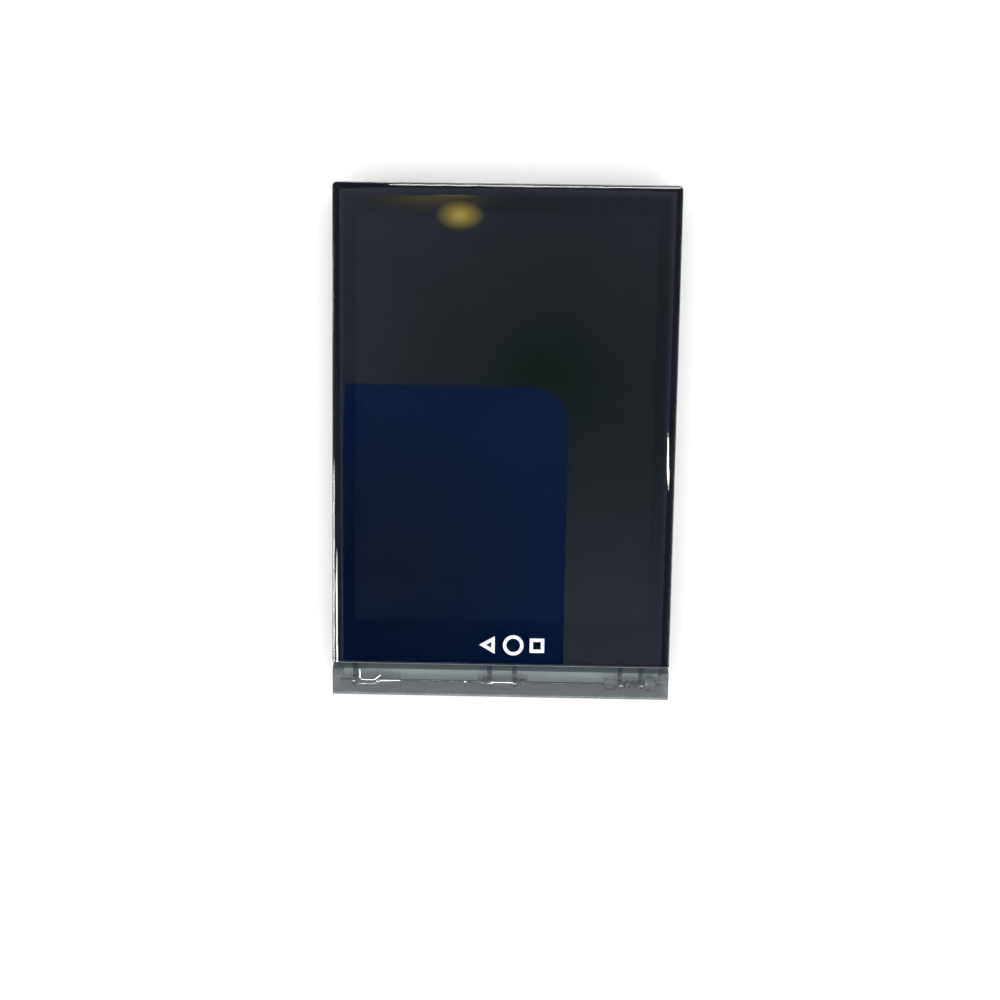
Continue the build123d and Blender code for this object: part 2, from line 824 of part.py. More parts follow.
def board(y_low, y_high, screw_places):
    """Adds a board that stands clear of the casing's bosses and has holes for its screws."""
    with BuildSketch(Plane.XY.offset(board_level)) as plan:
        rectangle(-board_half, board_half, y_low, y_high)
        with Locations(*boss_places):
            Circle(boss_radius + boss_clearance, mode=Mode.SUBTRACT)
        # Nothing is left of the board in the corner outside a boss.
        with Locations(*[(x + 5 * sign(x), y + 5 * sign(y)) for x, y in boss_places]):
            Rectangle(10, 10, mode=Mode.SUBTRACT)
        with Locations(*screw_places):
            Circle(screw_radius + 0.1, mode=Mode.SUBTRACT)
    return plan.sketch


with BuildPart() as main_board:
    main_plan = board(main_board_bottom, main_board_top, board_screw_places)
    extrude(main_plan, amount=board_thickness)
save(main_board, "main_board")

with BuildPart() as bottom_board:
    bottom_plan = board(bottom_board_bottom, bottom_board_top, board_screw_places)
    extrude(bottom_plan, amount=board_thickness)
save(bottom_board, "bottom_board")

with BuildPart() as board_screws:
    with Locations(*[(x, y, 0) for x, y in board_screw_places]):
        with Locations((0, 0, board_level - screw_head_height / 2)):
            Cylinder(screw_head_radius, screw_head_height)
        with Locations((0, 0, (board_level + shelf_top - 0.2) / 2)):
            Cylinder(screw_radius, shelf_top - 0.2 - board_level)
        with Locations((0, 0, board_level - screw_head_height)):
            Box(1.4, 0.3, 0.5, mode=Mode.SUBTRACT)
            Box(0.3, 1.4, 0.5, mode=Mode.SUBTRACT)
save(board_screws, "board_screws")

with BuildPart() as link_flex:
    flex_x = board_half - 4.6
    block(
        flex_x - 1.5,
        flex_x + 1.5,
        bottom_board_top - 1.0,
        main_board_bottom + 1.0,
        board_top,
        board_top + 0.12,
    )
save(link_flex, "link_flex")

shield_gap = 0.3
shield_height = 1.5
processor_width = 12.0
processor_length = 9.0
processor_left = -board_half + switch_depth + 2.6
with BuildPart() as processor_shield:
    block(
        processor_left,
        processor_left + processor_width,
        main_board_bottom + 0.6,
        main_board_bottom + 0.6 + processor_length,
        board_level - shield_height,
        board_level,
    )
    fillet(processor_shield.edges().filter_by(Axis.Z), 0.5)
    fillet(processor_shield.faces().sort_by(Axis.Z)[0].edges(), 0.2)
save(processor_shield, "processor_shield")

radio_left = processor_left + processor_width + 1.0
radio_width = 9.0
radio_length = 7.6
with BuildPart() as radio_shield:
    block(
        radio_left,
        radio_left + radio_width,
        main_board_bottom + 0.6,
        main_board_bottom + 0.6 + radio_length,
        board_level - shield_height,
        board_level,
    )
    fillet(radio_shield.edges().filter_by(Axis.Z), 0.5)
    fillet(radio_shield.faces().sort_by(Axis.Z)[0].edges(), 0.2)
save(radio_shield, "radio_shield")

chips_x = board_half - switch_depth - chips_from_switch
with BuildPart() as board_chips:
    with Locations((chips_x, main_board_bottom + 9.0, board_level - 0.4)):
        with GridLocations(1, 2.6, 1, 3):
            Box(2.2, 1.8, 0.8)
    with Locations((radio_left + 5.0, main_board_bottom + 10.0, board_level - 0.25)):
        with GridLocations(1.6, 1.2, 4, 2):
            Box(1.0, 0.5, 0.5)
save(board_chips, "board_chips")

with BuildPart() as usb_port:
    with BuildSketch(Plane.XZ.offset(-usb_mouth)):
        with Locations((0, usb_centre)):
            RectangleRounded(usb_width, usb_height, usb_height / 2 - 0.1)
            RectangleRounded(
                usb_width - 2 * usb_shell,
                usb_height - 2 * usb_shell,
                usb_height / 2 - 0.1 - usb_shell,
                mode=Mode.SUBTRACT,
            )
    extrude(amount=usb_length)
    with BuildSketch(Plane.XZ.offset(-usb_back - 0.6)):
        with Locations((0, usb_centre)):
            RectangleRounded(usb_width, usb_height, usb_height / 2 - 0.1)
    extrude(amount=0.6)
save(usb_port, "usb_port")

tongue_width = 6.69
tongue_thickness = 0.7
with BuildPart() as usb_tongue:
    block(
        -tongue_width / 2,
        tongue_width / 2,
        usb_back + 0.6,
        usb_mouth - 0.9,
        usb_centre - tongue_thickness / 2,
        usb_centre + tongue_thickness / 2,
    )
    chamfer(usb_tongue.faces().sort_by(Axis.Y)[-1].edges().filter_by(Axis.X), 0.15)
save(usb_tongue, "usb_tongue")

socket_sheet = 0.25
socket_low = card_level - card_clearance - socket_sheet
socket_mouth = inner_end + 0.1
with BuildPart() as card_socket:
    block(
        card_x - socket_width / 2,
        card_x + socket_width / 2,
        socket_mouth,
        socket_mouth + socket_length,
        socket_low,
        board_level,
    )
    block(
        card_x - card_width / 2 - card_clearance,
        card_x + card_width / 2 + card_clearance,
        socket_mouth - 0.5,
        casing_end - card_proud + card_length + 0.3,
        card_level - card_clearance,
        card_level + card_thickness + card_clearance,
        mode=Mode.SUBTRACT,
    )
save(card_socket, "card_socket")

with BuildPart() as memory_card:
    card_end = casing_end - card_proud
    with BuildSketch(Plane.XY.offset(card_level)) as card_plan:
        rectangle(card_x - card_width / 2, card_x + card_width / 2, card_end, card_end + card_length)
        fillet(card_plan.vertices(), 0.5)
        # The step in the card's side near its contacts
        rectangle(
            card_x + card_width / 2 - 1.1,
            card_x + card_width / 2,
            card_end + 8.5,
            card_end + card_length,
        )
        rectangle(
            card_x + card_width / 2 - 1.1,
            card_x + card_width / 2 + 1,
            card_end + 8.6,
            card_end + card_length + 1,
        )
    extrude(amount=card_thickness)
    block(
        card_x + card_width / 2 - 1.1,
        card_x + card_width,
        card_end + 8.6,
        card_end + card_length + 2,
        0,
        device_thickness,
        mode=Mode.SUBTRACT,
    )
    chamfer(memory_card.faces().sort_by(Axis.Y)[0].edges().filter_by(Axis.X), 0.2)
save(memory_card, "memory_card")

# ---- Battery ------------------------------------------------------------------------------------------------------

with BuildPart() as battery_pack:
    block(
        -battery_half,
        battery_half,
        battery_bottom,
        battery_top,
        battery_level,
        shelf_level - battery_top_gap,
    )
    fillet(battery_pack.edges().filter_by(Axis.Y), 0.9)
save(battery_pack, "battery_pack")

with BuildPart() as battery_pad:
    with BuildSketch(Plane.XY.offset(back_thickness)):
        rectangle(-battery_half + 2, battery_half - 2, battery_bottom + 1.5, battery_top - 1.5)
    extrude(amount=battery_pad_thickness)
save(battery_pad, "battery_pad")

plug_height = 0.9
plug_x = chips_x
with BuildPart() as battery_lead:
    block(
        plug_x - 1.6,
        plug_x + 1.6,
        battery_top,
        main_board_bottom + 0.7,
        board_level - 0.65,
        board_level - 0.45,
    )
    block(
        plug_x - 1.8,
        plug_x + 1.8,
        main_board_bottom + 0.7,
        main_board_bottom + 2.5,
        board_level - plug_height,
        board_level,
    )
save(battery_lead, "battery_lead")

# ---- Sound, motion and radio --------------------------------------------------------------------------------------

with BuildPart() as speaker:
    block(
        speaker_x - speaker_width / 2,
        speaker_x + speaker_width / 2,
        speaker_bottom,
        speaker_bottom + speaker_length,
        parts_level,
        parts_level + speaker_height,
    )
    fillet(speaker.edges().filter_by(Axis.Z), 1.2)
save(speaker, "speaker")

with BuildPart() as speaker_mesh:
    with BuildSketch(Plane.XY.offset(back_thickness)):
        with Locations((speaker_x, speaker_middle)):
            RectangleRounded(speaker_width - 1.0, speaker_length - 1.4, 1.0)
    extrude(amount=parts_level - back_thickness)
save(speaker_mesh, "speaker_mesh")

with BuildPart() as microphone:
    block(
        mic_x - mic_width / 2,
        mic_x + mic_width / 2,
        main_board_top - 2.6,
        main_board_top - 0.1,
        board_level - 1.1,
        board_level,
    )
    with Locations(Location((mic_x, main_board_top - 0.1, mic_level), (90, 0, 0))):
        Cylinder(0.25, 0.8, mode=Mode.SUBTRACT)
save(microphone, "microphone")

motor_radius = 1.55
motor_axis_y = main_board_top - 1.9
motor_axis_z = board_level - motor_radius - 0.05
motor_right = -usb_width / 2 - 1.0
motor_left = motor_right - 6.4
weight_radius = 1.35
weight_length = 2.2
shaft_radius = 0.25
with BuildPart() as vibration_motor:
    rod(motor_left, motor_right, motor_radius, motor_axis_y, motor_axis_z)
    rod(motor_left - 0.3, motor_left, 0.7, motor_axis_y, motor_axis_z)
    rod(motor_left - 1, motor_left + 3, shaft_radius + running_clearance, motor_axis_y, motor_axis_z, Mode.SUBTRACT)
    # Foot that is soldered to the board
    block(
        motor_left + 1,
        motor_right - 1,
        motor_axis_y - 0.8,
        motor_axis_y + 0.8,
        motor_axis_z + 1.2,
        board_level,
    )
save(vibration_motor, "vibration_motor")

weight_right = motor_left - 0.45
with BuildPart() as motor_weight:
    with BuildSketch(Plane.YZ.offset(weight_right - weight_length)):
        with BuildLine():
            CenterArc((motor_axis_y, motor_axis_z), weight_radius, 180, 180)
            Line((motor_axis_y + weight_radius, motor_axis_z), (motor_axis_y - weight_radius, motor_axis_z))
        make_face()
        with Locations((motor_axis_y, motor_axis_z)):
            Circle(0.6)
    extrude(amount=weight_length)
    rod(weight_right - weight_length, motor_left + 2.7, shaft_radius, motor_axis_y, motor_axis_z)
save(motor_weight, "motor_weight")

with BuildPart() as antenna:
    block(inner_side - 0.2, inner_side, battery_bottom + 1, battery_top - 1, 2.0, split_level - 0.2)
    block(inner_side - 0.2, inner_side, battery_bottom + 3, battery_top - 6, 2.7, 3.4, mode=Mode.SUBTRACT)
save(antenna, "antenna")

# ---- Keys ---------------------------------------------------------------------------------------------------------

nib_radius = 0.5
switch_actuator = 0.35
switch_face = inner_side - 1.1
for name, (side, key_y, length) in key_places.items():
    with BuildPart() as key:
        cap_out = casing_side + key_proud
        flange_out = inner_side - 0.05
        flange_in = flange_out - key_flange
        cap_ends = sorted((side * (inner_side - 0.1), side * cap_out))
        block(
            cap_ends[0],
            cap_ends[1],
            key_y - length / 2,
            key_y + length / 2,
            key_level - key_height / 2,
            key_level + key_height / 2,
        )
        # The flange inside the wall keeps the key in.
        flange_ends = sorted((side * flange_in, side * flange_out))
        block(
            flange_ends[0],
            flange_ends[1],
            key_y - length / 2 - key_flange_reach,
            key_y + length / 2 + key_flange_reach,
            key_level - key_height / 2 - key_flange_reach,
            key_level + key_height / 2 + key_flange_rise,
        )
        outer_face = key.faces().sort_by(Axis.X)[-1 if side > 0 else 0]
        fillet(outer_face.edges(), 0.12)
    save(key, name)

with BuildPart() as key_switches:
    for side, key_y, length in key_places.values():
        ends = sorted((side * (switch_face - switch_depth), side * switch_face))
        block(ends[0], ends[1], key_y - switch_half, key_y + switch_half, board_level - 1.55, board_level)
        ends = sorted((side * switch_face, side * (flange_in - key_travel - 0.03)))
        block(ends[0], ends[1], key_y - 0.5, key_y + 0.5, key_level - 0.5, key_level + 0.4)
save(key_switches, "key_switches")
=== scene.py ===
"""Looks of the pocket touch-screen assistant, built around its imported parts.

Everything is in metres in the parts' own frame: X right, Y up the screen, Z towards the viewer.
"""

import json
import math

import bpy
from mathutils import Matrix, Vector


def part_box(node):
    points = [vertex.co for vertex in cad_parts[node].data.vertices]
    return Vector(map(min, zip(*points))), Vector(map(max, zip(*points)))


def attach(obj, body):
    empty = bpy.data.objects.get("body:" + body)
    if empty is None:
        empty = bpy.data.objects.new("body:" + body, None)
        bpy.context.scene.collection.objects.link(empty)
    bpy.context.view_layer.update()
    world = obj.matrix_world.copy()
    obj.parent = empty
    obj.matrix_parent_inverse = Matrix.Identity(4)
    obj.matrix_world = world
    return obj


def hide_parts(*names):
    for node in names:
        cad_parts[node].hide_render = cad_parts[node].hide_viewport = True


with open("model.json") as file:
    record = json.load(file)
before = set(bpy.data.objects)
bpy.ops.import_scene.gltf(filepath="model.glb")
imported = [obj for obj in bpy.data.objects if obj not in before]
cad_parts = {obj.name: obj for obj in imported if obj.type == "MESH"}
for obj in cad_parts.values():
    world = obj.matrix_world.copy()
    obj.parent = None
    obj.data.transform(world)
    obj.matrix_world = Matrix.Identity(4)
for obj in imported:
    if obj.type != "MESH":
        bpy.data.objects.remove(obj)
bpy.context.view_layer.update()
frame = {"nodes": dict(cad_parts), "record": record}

MM = 0.001
nodes = frame["nodes"]
BLACK = (0, 0, 0, 1)
WHITE = (1, 1, 1, 1)


# ---- Materials -----------------------------------------------------------------------------------

NOISE_LOW = 0.3
NOISE_HIGH = 0.7
NOISE_DETAIL = 3.0
COLOUR_GRAIN = 6


def new_material(name):
    """A material with its node tree and its Principled shader."""
    material = bpy.data.materials.new(name)
    material.use_nodes = True
    tree = material.node_tree
    return material, tree, tree.nodes["Principled BSDF"]


def object_noise(tree, size):
    """Noise on Object coordinates whose grains are about size metres across."""
    place = tree.nodes.new("ShaderNodeTexCoord")
    noise = tree.nodes.new("ShaderNodeTexNoise")
    noise.inputs["Scale"].default_value = 1 / size
    noise.inputs["Detail"].default_value = NOISE_DETAIL
    tree.links.new(place.outputs["Object"], noise.inputs["Vector"])
    return noise


def vary_colour(tree, shader, noise, dark, light):
    """Lets the noise run the base colour between two close tones."""
    ramp = tree.nodes.new("ShaderNodeValToRGB")
    ramp.color_ramp.elements[0].position = NOISE_LOW
    ramp.color_ramp.elements[0].color = (*dark, 1)
    ramp.color_ramp.elements[1].position = NOISE_HIGH
    ramp.color_ramp.elements[1].color = (*light, 1)
    tree.links.new(noise.outputs["Fac"], ramp.inputs["Fac"])
    tree.links.new(ramp.outputs["Color"], shader.inputs["Base Color"])


def vary_roughness(tree, shader, noise, low, high):
    """Lets the noise run the roughness between two values."""
    spread = tree.nodes.new("ShaderNodeMapRange")
    spread.inputs["From Min"].default_value = NOISE_LOW
    spread.inputs["From Max"].default_value = NOISE_HIGH
    spread.inputs["To Min"].default_value = low
    spread.inputs["To Max"].default_value = high
    tree.links.new(noise.outputs["Fac"], spread.inputs["Value"])
    tree.links.new(spread.outputs["Result"], shader.inputs["Roughness"])


def add_bump(tree, shader, noise, depth):
    """Raises the surface with the noise, by depth metres at most."""
    bump = tree.nodes.new("ShaderNodeBump")
    bump.inputs["Strength"].default_value = 1.0
    bump.inputs["Distance"].default_value = depth
    tree.links.new(noise.outputs["Fac"], bump.inputs["Height"])
    tree.links.new(bump.outputs["Normal"], shader.inputs["Normal"])


def mottled(name, dark, light, rough, grain, bump=0.0, metallic=0.0, **settings):
    """A finish with fine variation of colour, roughness and height."""
    material, tree, shader = new_material(name)
    vary_colour(tree, shader, object_noise(tree, grain * COLOUR_GRAIN), dark, light)
    fine = object_noise(tree, grain)
    vary_roughness(tree, shader, fine, *rough)
    if bump:
        add_bump(tree, shader, fine, bump)
    shader.inputs["Metallic"].default_value = metallic
    for socket, value in settings.items():
        shader.inputs[socket.replace("_", " ")].default_value = value
    return material


def clear_glass():
    """Clean cover glass with the faintest smear of the hand on it."""
    return mottled(
        "cover_glass", (0.52, 0.55, 0.58), (0.55, 0.58, 0.61), (0.0, 0.010), 2 * MM,
        Transmission_Weight=1.0, IOR=1.45,
    )


def smoke_plastic(name, dark, light, alpha, rough=(0.10, 0.16)):
    """Tinted see-through plastic, a little cloudy, with a moulded gloss."""
    return mottled(name, dark, light, rough, 0.5 * MM, Alpha=alpha, IOR=1.45)


finishes = {
    "cover_glass": clear_glass(),
    "black_ink": mottled("black_ink", (0.008, 0.009, 0.009), (0.010, 0.011, 0.011), (0.5, 0.6), 0.3 * MM,
                         Specular_IOR_Level=0.0),
    "black_adhesive": mottled(
        "black_adhesive", (0.01, 0.01, 0.01), (0.02, 0.02, 0.02), (0.7, 0.9), 0.2 * MM
    ),
    "sensor_film": mottled("sensor_film", (0.01, 0.01, 0.015), (0.015, 0.015, 0.02), (0.4, 0.5), 2 * MM,
                           Alpha=0.06, Specular_IOR_Level=0.0),
    "display": mottled("display", (0.019, 0.022, 0.023), (0.022, 0.025, 0.026), (0.45, 0.5), 1 * MM,
                       Specular_IOR_Level=0.0),
    "light_guide": mottled("light_guide", (0.8, 0.82, 0.85), (0.85, 0.87, 0.9), (0.1, 0.2), 1 * MM),
    "stainless": mottled(
        "stainless", (0.5, 0.5, 0.5), (0.6, 0.6, 0.6), (0.25, 0.4), 0.2 * MM, metallic=1.0
    ),
    "silicon": mottled("silicon", (0.02, 0.02, 0.022), (0.03, 0.03, 0.035), (0.4, 0.5), 0.2 * MM),
    "polyimide": mottled("polyimide", (0.4, 0.18, 0.03), (0.5, 0.25, 0.05), (0.25, 0.35), 0.4 * MM),
    "black_plastic": mottled(
        "black_plastic", (0.015, 0.015, 0.016), (0.025, 0.025, 0.027), (0.45, 0.6), 0.1 * MM
    ),
    "casing": mottled(
        "casing", (0.010, 0.010, 0.011), (0.016, 0.016, 0.018), (0.42, 0.55), 0.06 * MM, 0.004 * MM
    ),
    "seal_rubber": mottled("seal_rubber", (0.012, 0.012, 0.012), (0.02, 0.02, 0.02), (0.7, 0.85), 0.1 * MM),
    "screw_steel": mottled(
        "screw_steel", (0.08, 0.08, 0.085), (0.12, 0.12, 0.13), (0.3, 0.4), 0.1 * MM, metallic=1.0
    ),
    "bright_steel": mottled("bright_steel", (0.62, 0.64, 0.66), (0.80, 0.82, 0.84), (0.10, 0.18), 0.1 * MM,
                            metallic=1.0),
    "circuit_board": mottled(
        "circuit_board", (0.004, 0.05, 0.03), (0.008, 0.08, 0.045), (0.3, 0.4), 0.3 * MM
    ),
    "shield_steel": mottled(
        "shield_steel", (0.5, 0.5, 0.48), (0.6, 0.6, 0.58), (0.25, 0.35), 0.2 * MM, metallic=1.0
    ),
    "battery_foil": mottled(
        "battery_foil", (0.5, 0.5, 0.52), (0.62, 0.62, 0.65), (0.35, 0.5), 0.5 * MM, metallic=0.8
    ),
    "mesh_cloth": mottled(
        "mesh_cloth", (0.012, 0.012, 0.012), (0.03, 0.03, 0.03), (0.8, 0.9), 0.08 * MM, 0.02 * MM
    ),
    "smoke_plastic": smoke_plastic("smoke_plastic", (0.30, 0.34, 0.35), (0.34, 0.38, 0.39), 0.14),
    "card_plastic": mottled(
        "card_plastic", (0.015, 0.015, 0.017), (0.025, 0.025, 0.03), (0.4, 0.5), 0.1 * MM
    ),
    "key_plastic": mottled(
        "key_plastic", (0.012, 0.012, 0.013), (0.02, 0.02, 0.022), (0.35, 0.45), 0.08 * MM
    ),
    "tungsten": mottled(
        "tungsten", (0.25, 0.25, 0.26), (0.35, 0.35, 0.36), (0.4, 0.5), 0.1 * MM, metallic=1.0
    ),
}

frosted_smoke = smoke_plastic("frosted_smoke", (0.22, 0.255, 0.26), (0.26, 0.295, 0.30), 0.90, (0.5, 0.6))
# Painted shade: a dark band on the door along the glass edge, standing in for the shadow of the glass on the
# door.
painted_shade_smoke = smoke_plastic("painted_shade_smoke", (0.045, 0.07, 0.085), (0.06, 0.085, 0.10), 0.82)
# Painted shade: darker, nearly clear pocket walls round the hinge pin, a dark halo round the fittings.
pocket_shade_smoke = smoke_plastic("pocket_shade_smoke", (0.06, 0.07, 0.08), (0.08, 0.09, 0.10), 0.06)
plate_smoke = smoke_plastic("plate_smoke", (0.130, 0.158, 0.172), (0.155, 0.183, 0.197), 0.92)
# Cloudier plastic for the door's ends, also used on the lip next to the glass as a painted highlight standing
# in for the glint of the glass's lower edge.
end_and_lip_glint_smoke = smoke_plastic("end_and_lip_glint_smoke", (0.30, 0.315, 0.315), (0.34, 0.355, 0.355), 0.86)
wire_steel = mottled(
    "wire_steel", (0.07, 0.075, 0.08), (0.12, 0.125, 0.13), (0.16, 0.26), 0.1 * MM, metallic=1.0
)
# Painted light: a pale, nearly clear finish on the bracket legs, made light to cancel the shade that falls on
# them under the door.
leg_fill_light_paint = mottled(
    "leg_fill_light_paint", (0.42, 0.45, 0.45), (0.46, 0.49, 0.49), (0.5, 0.6), 0.3 * MM, Alpha=0.2
)
aged_steel = mottled(
    "aged_steel", (0.11, 0.115, 0.115), (0.17, 0.175, 0.175), (0.10, 0.18), 0.15 * MM, metallic=1.0
)
edge_ink = mottled("edge_ink", (0.010, 0.011, 0.012), (0.014, 0.015, 0.016), (0.25, 0.35), 0.3 * MM)
ground_edge = mottled("ground_edge", (0.13, 0.15, 0.16), (0.17, 0.19, 0.20), (0.35, 0.5), 0.3 * MM)
white_print = mottled("white_print", (0.80, 0.80, 0.80), (0.86, 0.86, 0.86), (0.5, 0.6), 0.2 * MM)

for subpart in frame["record"]["subparts"]:
    cad_object = nodes[subpart["node"]]
    for material_slot in cad_object.material_slots:
        material_slot.material = finishes[subpart["material_slot"]]


# ---- Modelling helpers ---------------------------------------------------------------------------

def bench_clear():
    """Leaves edit mode with nothing selected."""
    if bpy.context.mode != "OBJECT":
        bpy.ops.object.mode_set(mode="OBJECT")
    bpy.ops.object.select_all(action="DESELECT")


def take_up(piece):
    """Clears the bench and makes this the one selected and active piece."""
    bench_clear()
    piece.select_set(True)
    bpy.context.view_layer.objects.active = piece


def add_modifier(piece, kind):
    """Adds a modifier to the piece in hand."""
    bpy.ops.object.modifier_add(type=kind)
    return piece.modifiers[-1]


def add_plane(name, size, place):
    """A flat square in the floor's plane."""
    bench_clear()
    bpy.ops.mesh.primitive_plane_add(size=size, location=place)
    plane = bpy.context.active_object
    plane.name = name
    return plane


def block(name, low, high):
    """A block between two corners, ready to be shaped."""
    bench_clear()
    low, high = Vector(low), Vector(high)
    bpy.ops.mesh.primitive_cube_add(size=1, location=(low + high) / 2)
    piece = bpy.context.active_object
    piece.name = name
    piece.scale = high - low
    bpy.ops.object.transform_apply(location=True, rotation=False, scale=True)
    return piece


def choose(piece, kind, wanted):
    """Selects the piece's vertices, edges or faces that wanted says yes to, and enters edit mode."""
    bpy.ops.object.mode_set(mode="OBJECT")
    mesh = piece.data
    for group in (mesh.vertices, mesh.edges, mesh.polygons):
        for item in group:
            item.select = False
    place = [vertex.co for vertex in mesh.vertices]
    if kind == "VERT":
        for vertex in mesh.vertices:
            vertex.select = wanted(vertex.co)
    elif kind == "EDGE":
        for edge in mesh.edges:
            edge.select = wanted(*(place[corner] for corner in edge.vertices))
    else:
        for face in mesh.polygons:
            face.select = wanted(face.center, face.normal)
    bpy.context.tool_settings.mesh_select_mode = [kind == each for each in ("VERT", "EDGE", "FACE")]
    bpy.ops.object.mode_set(mode="EDIT")


def cut_with(piece, cutter, operation):
    """Applies a boolean with the cutter and throws the cutter away."""
    take_up(piece)
    boolean = add_modifier(piece, "BOOLEAN")
    boolean.operation = operation
    boolean.object = cutter
    boolean.solver = "EXACT"
    bpy.ops.object.modifier_apply(modifier=boolean.name)
    bpy.data.objects.remove(cutter)


def solidify(piece, thickness):
    """Gives a flat sheet its thickness downwards."""
    take_up(piece)
    sheet = add_modifier(piece, "SOLIDIFY")
    sheet.thickness = thickness
    sheet.offset = -1
    bpy.ops.object.modifier_apply(modifier=sheet.name)


CURVED_BELOW = 32
FACES_OVER_CORNERS = 100
SAME_POINT = 0.0003 * MM
SAME_PACKED_POINT = 0.0005 * MM
SAME_PLANE = 0.5


def smooth(piece):
    """Joins points that fell together, shades curved faces smooth and keeps flat faces truly flat."""
    take_up(piece)
    bpy.ops.object.mode_set(mode="EDIT")
    bpy.ops.mesh.select_all(action="SELECT")
    bpy.ops.mesh.remove_doubles(threshold=SAME_POINT)
    bpy.ops.object.mode_set(mode="OBJECT")
    bpy.ops.object.shade_smooth_by_angle(angle=math.radians(CURVED_BELOW))
    weighted = add_modifier(piece, "WEIGHTED_NORMAL")
    weighted.keep_sharp = True
    weighted.weight = FACES_OVER_CORNERS
    bpy.ops.object.modifier_apply(modifier=weighted.name)


def merged_copy(node, name):
    """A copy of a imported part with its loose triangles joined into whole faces."""
    piece = bpy.data.objects.new(name, nodes[node].data.copy())
    bpy.context.scene.collection.objects.link(piece)
    take_up(piece)
    bpy.ops.mesh.customdata_custom_splitnormals_clear()
    bpy.ops.object.mode_set(mode="EDIT")
    bpy.ops.mesh.select_all(action="SELECT")
    bpy.ops.mesh.remove_doubles(threshold=SAME_PACKED_POINT)
    bpy.ops.mesh.dissolve_limited(angle_limit=math.radians(SAME_PLANE))
    bpy.ops.object.mode_set(mode="OBJECT")
    return piece


def hand_over(piece, body, materials, stands_for=(), looks=()):
    """Gives a finished piece its body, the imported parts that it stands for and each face's material."""
    bench_clear()
    piece.data.materials.clear()
    for material in materials:
        piece.data.materials.append(material)
    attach(piece, body)
    if stands_for:
        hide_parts(*stands_for)
    for face, look in zip(piece.data.polygons, looks):
        face.material_index = look


# ---- Cover glass and what is printed on it -------------------------------------------------------

SHOULDER = 1.7 * MM
SHOULDER_DROP = 0.75 * MM
GLASS_CORNER = 0.8 * MM
LOWER_EDGE = 0.08 * MM
TINY = 0.001 * MM
CUTTER_MARGIN = Vector((0.01 * MM, 0.01 * MM, MM))
NEARLY_UPRIGHT = 0.02
GROUND_LEAN = -0.05
CLEAR_FACE, INKED_FACE, GROUND_FACE = range(3)
WINDOW_SIDE = 2.75 * MM
WINDOW_BELOW = 5.3 * MM
WINDOW_ABOVE = 3.5 * MM
PRINT_GAP = 0.006 * MM
PRINT_BARE = 0.06 * MM
PRINT_THICKNESS = 0.02 * MM
SYMBOL_RADIUS = 1.3 * MM
SYMBOL_LINE = 0.42 * MM
SYMBOL_UP = 2.65 * MM
SYMBOL_LIFT = 0.012 * MM
SYMBOL_THICKNESS = 0.01 * MM


def cover_glass_plate():
    """Flat glass whose left, right and upper edges fall away in a soft shoulder."""
    low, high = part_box("front_glass")
    brow = high.z - SHOULDER_DROP
    plate = block("cover_glass_plate", low, (high.x, high.y, brow + SHOULDER))
    top = brow + SHOULDER

    def on_shoulder_side(a, b):
        on_top = a.z > top - TINY and b.z > top - TINY
        return on_top and not (a.y < low.y + TINY and b.y < low.y + TINY)

    choose(plate, "EDGE", on_shoulder_side)
    bpy.ops.mesh.bevel(offset=SHOULDER, segments=20, affect="EDGES")
    choose(plate, "VERT", lambda corner: corner.z > brow + TINY)
    bpy.ops.transform.resize(value=(1, 1, SHOULDER_DROP / SHOULDER), center_override=(0, 0, brow))
    outline = block("glass_outline", low - CUTTER_MARGIN, high + CUTTER_MARGIN)
    choose(outline, "EDGE", lambda a, b: abs(a.x - b.x) + abs(a.y - b.y) < TINY and a.y > 0)
    bpy.ops.mesh.bevel(offset=GLASS_CORNER, segments=12, affect="EDGES")
    cut_with(plate, outline, "INTERSECT")
    choose(plate, "EDGE", lambda a, b: max(a.y, b.y) < low.y + TINY and min(a.z, b.z) > brow - TINY)
    bpy.ops.mesh.bevel(offset=LOWER_EDGE, segments=3, affect="EDGES")
    smooth(plate)
    looks = []
    for face in plate.data.polygons:
        leans_down = face.normal.y < GROUND_LEAN and face.normal.z > NEARLY_UPRIGHT
        if leans_down and face.center.y < low.y + LOWER_EDGE:
            looks.append(GROUND_FACE)
        elif abs(face.normal.z) < NEARLY_UPRIGHT:
            looks.append(INKED_FACE)
        else:
            looks.append(CLEAR_FACE)
    materials = [finishes["cover_glass"], edge_ink, ground_edge]
    hand_over(plate, "body", materials, ["front_glass"], looks)


def printed_border():
    """The black print under the glass, with the window for the display."""
    low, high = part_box("front_glass")
    window_low = (low.x + WINDOW_SIDE, low.y + WINDOW_BELOW)
    window_high = (high.x - WINDOW_SIDE, high.y - WINDOW_ABOVE)
    sheet = add_plane("printed_border", 1, (0, (low.y + high.y) / 2, low.z - PRINT_GAP))
    sheet.scale = (high.x - low.x - 2 * PRINT_BARE, high.y - low.y - 2 * PRINT_BARE, 1)
    bpy.ops.object.transform_apply(location=True, rotation=False, scale=True)
    bpy.ops.object.mode_set(mode="EDIT")
    bpy.ops.mesh.select_all(action="SELECT")
    bpy.ops.mesh.inset(thickness=2 * MM)
    bpy.ops.object.mode_set(mode="OBJECT")
    for vertex in sheet.data.vertices:
        if abs(vertex.co.x) < high.x - MM:
            vertex.co.x = window_low[0] if vertex.co.x < 0 else window_high[0]
            vertex.co.y = window_low[1] if vertex.co.y < 0 else window_high[1]
    choose(sheet, "FACE", lambda centre, normal: abs(centre.x) < MM and abs(centre.y) < 10 * MM)
    bpy.ops.mesh.delete(type="FACE")
    choose(sheet, "VERT", lambda corner: corner.y > high.y - MM and abs(corner.x) > high.x - MM)
    bpy.ops.mesh.bevel(offset=GLASS_CORNER, segments=8, affect="VERTICES")
    solidify(sheet, PRINT_THICKNESS)
    hand_over(sheet, "body", [finishes["black_ink"]], ["ink_border"])


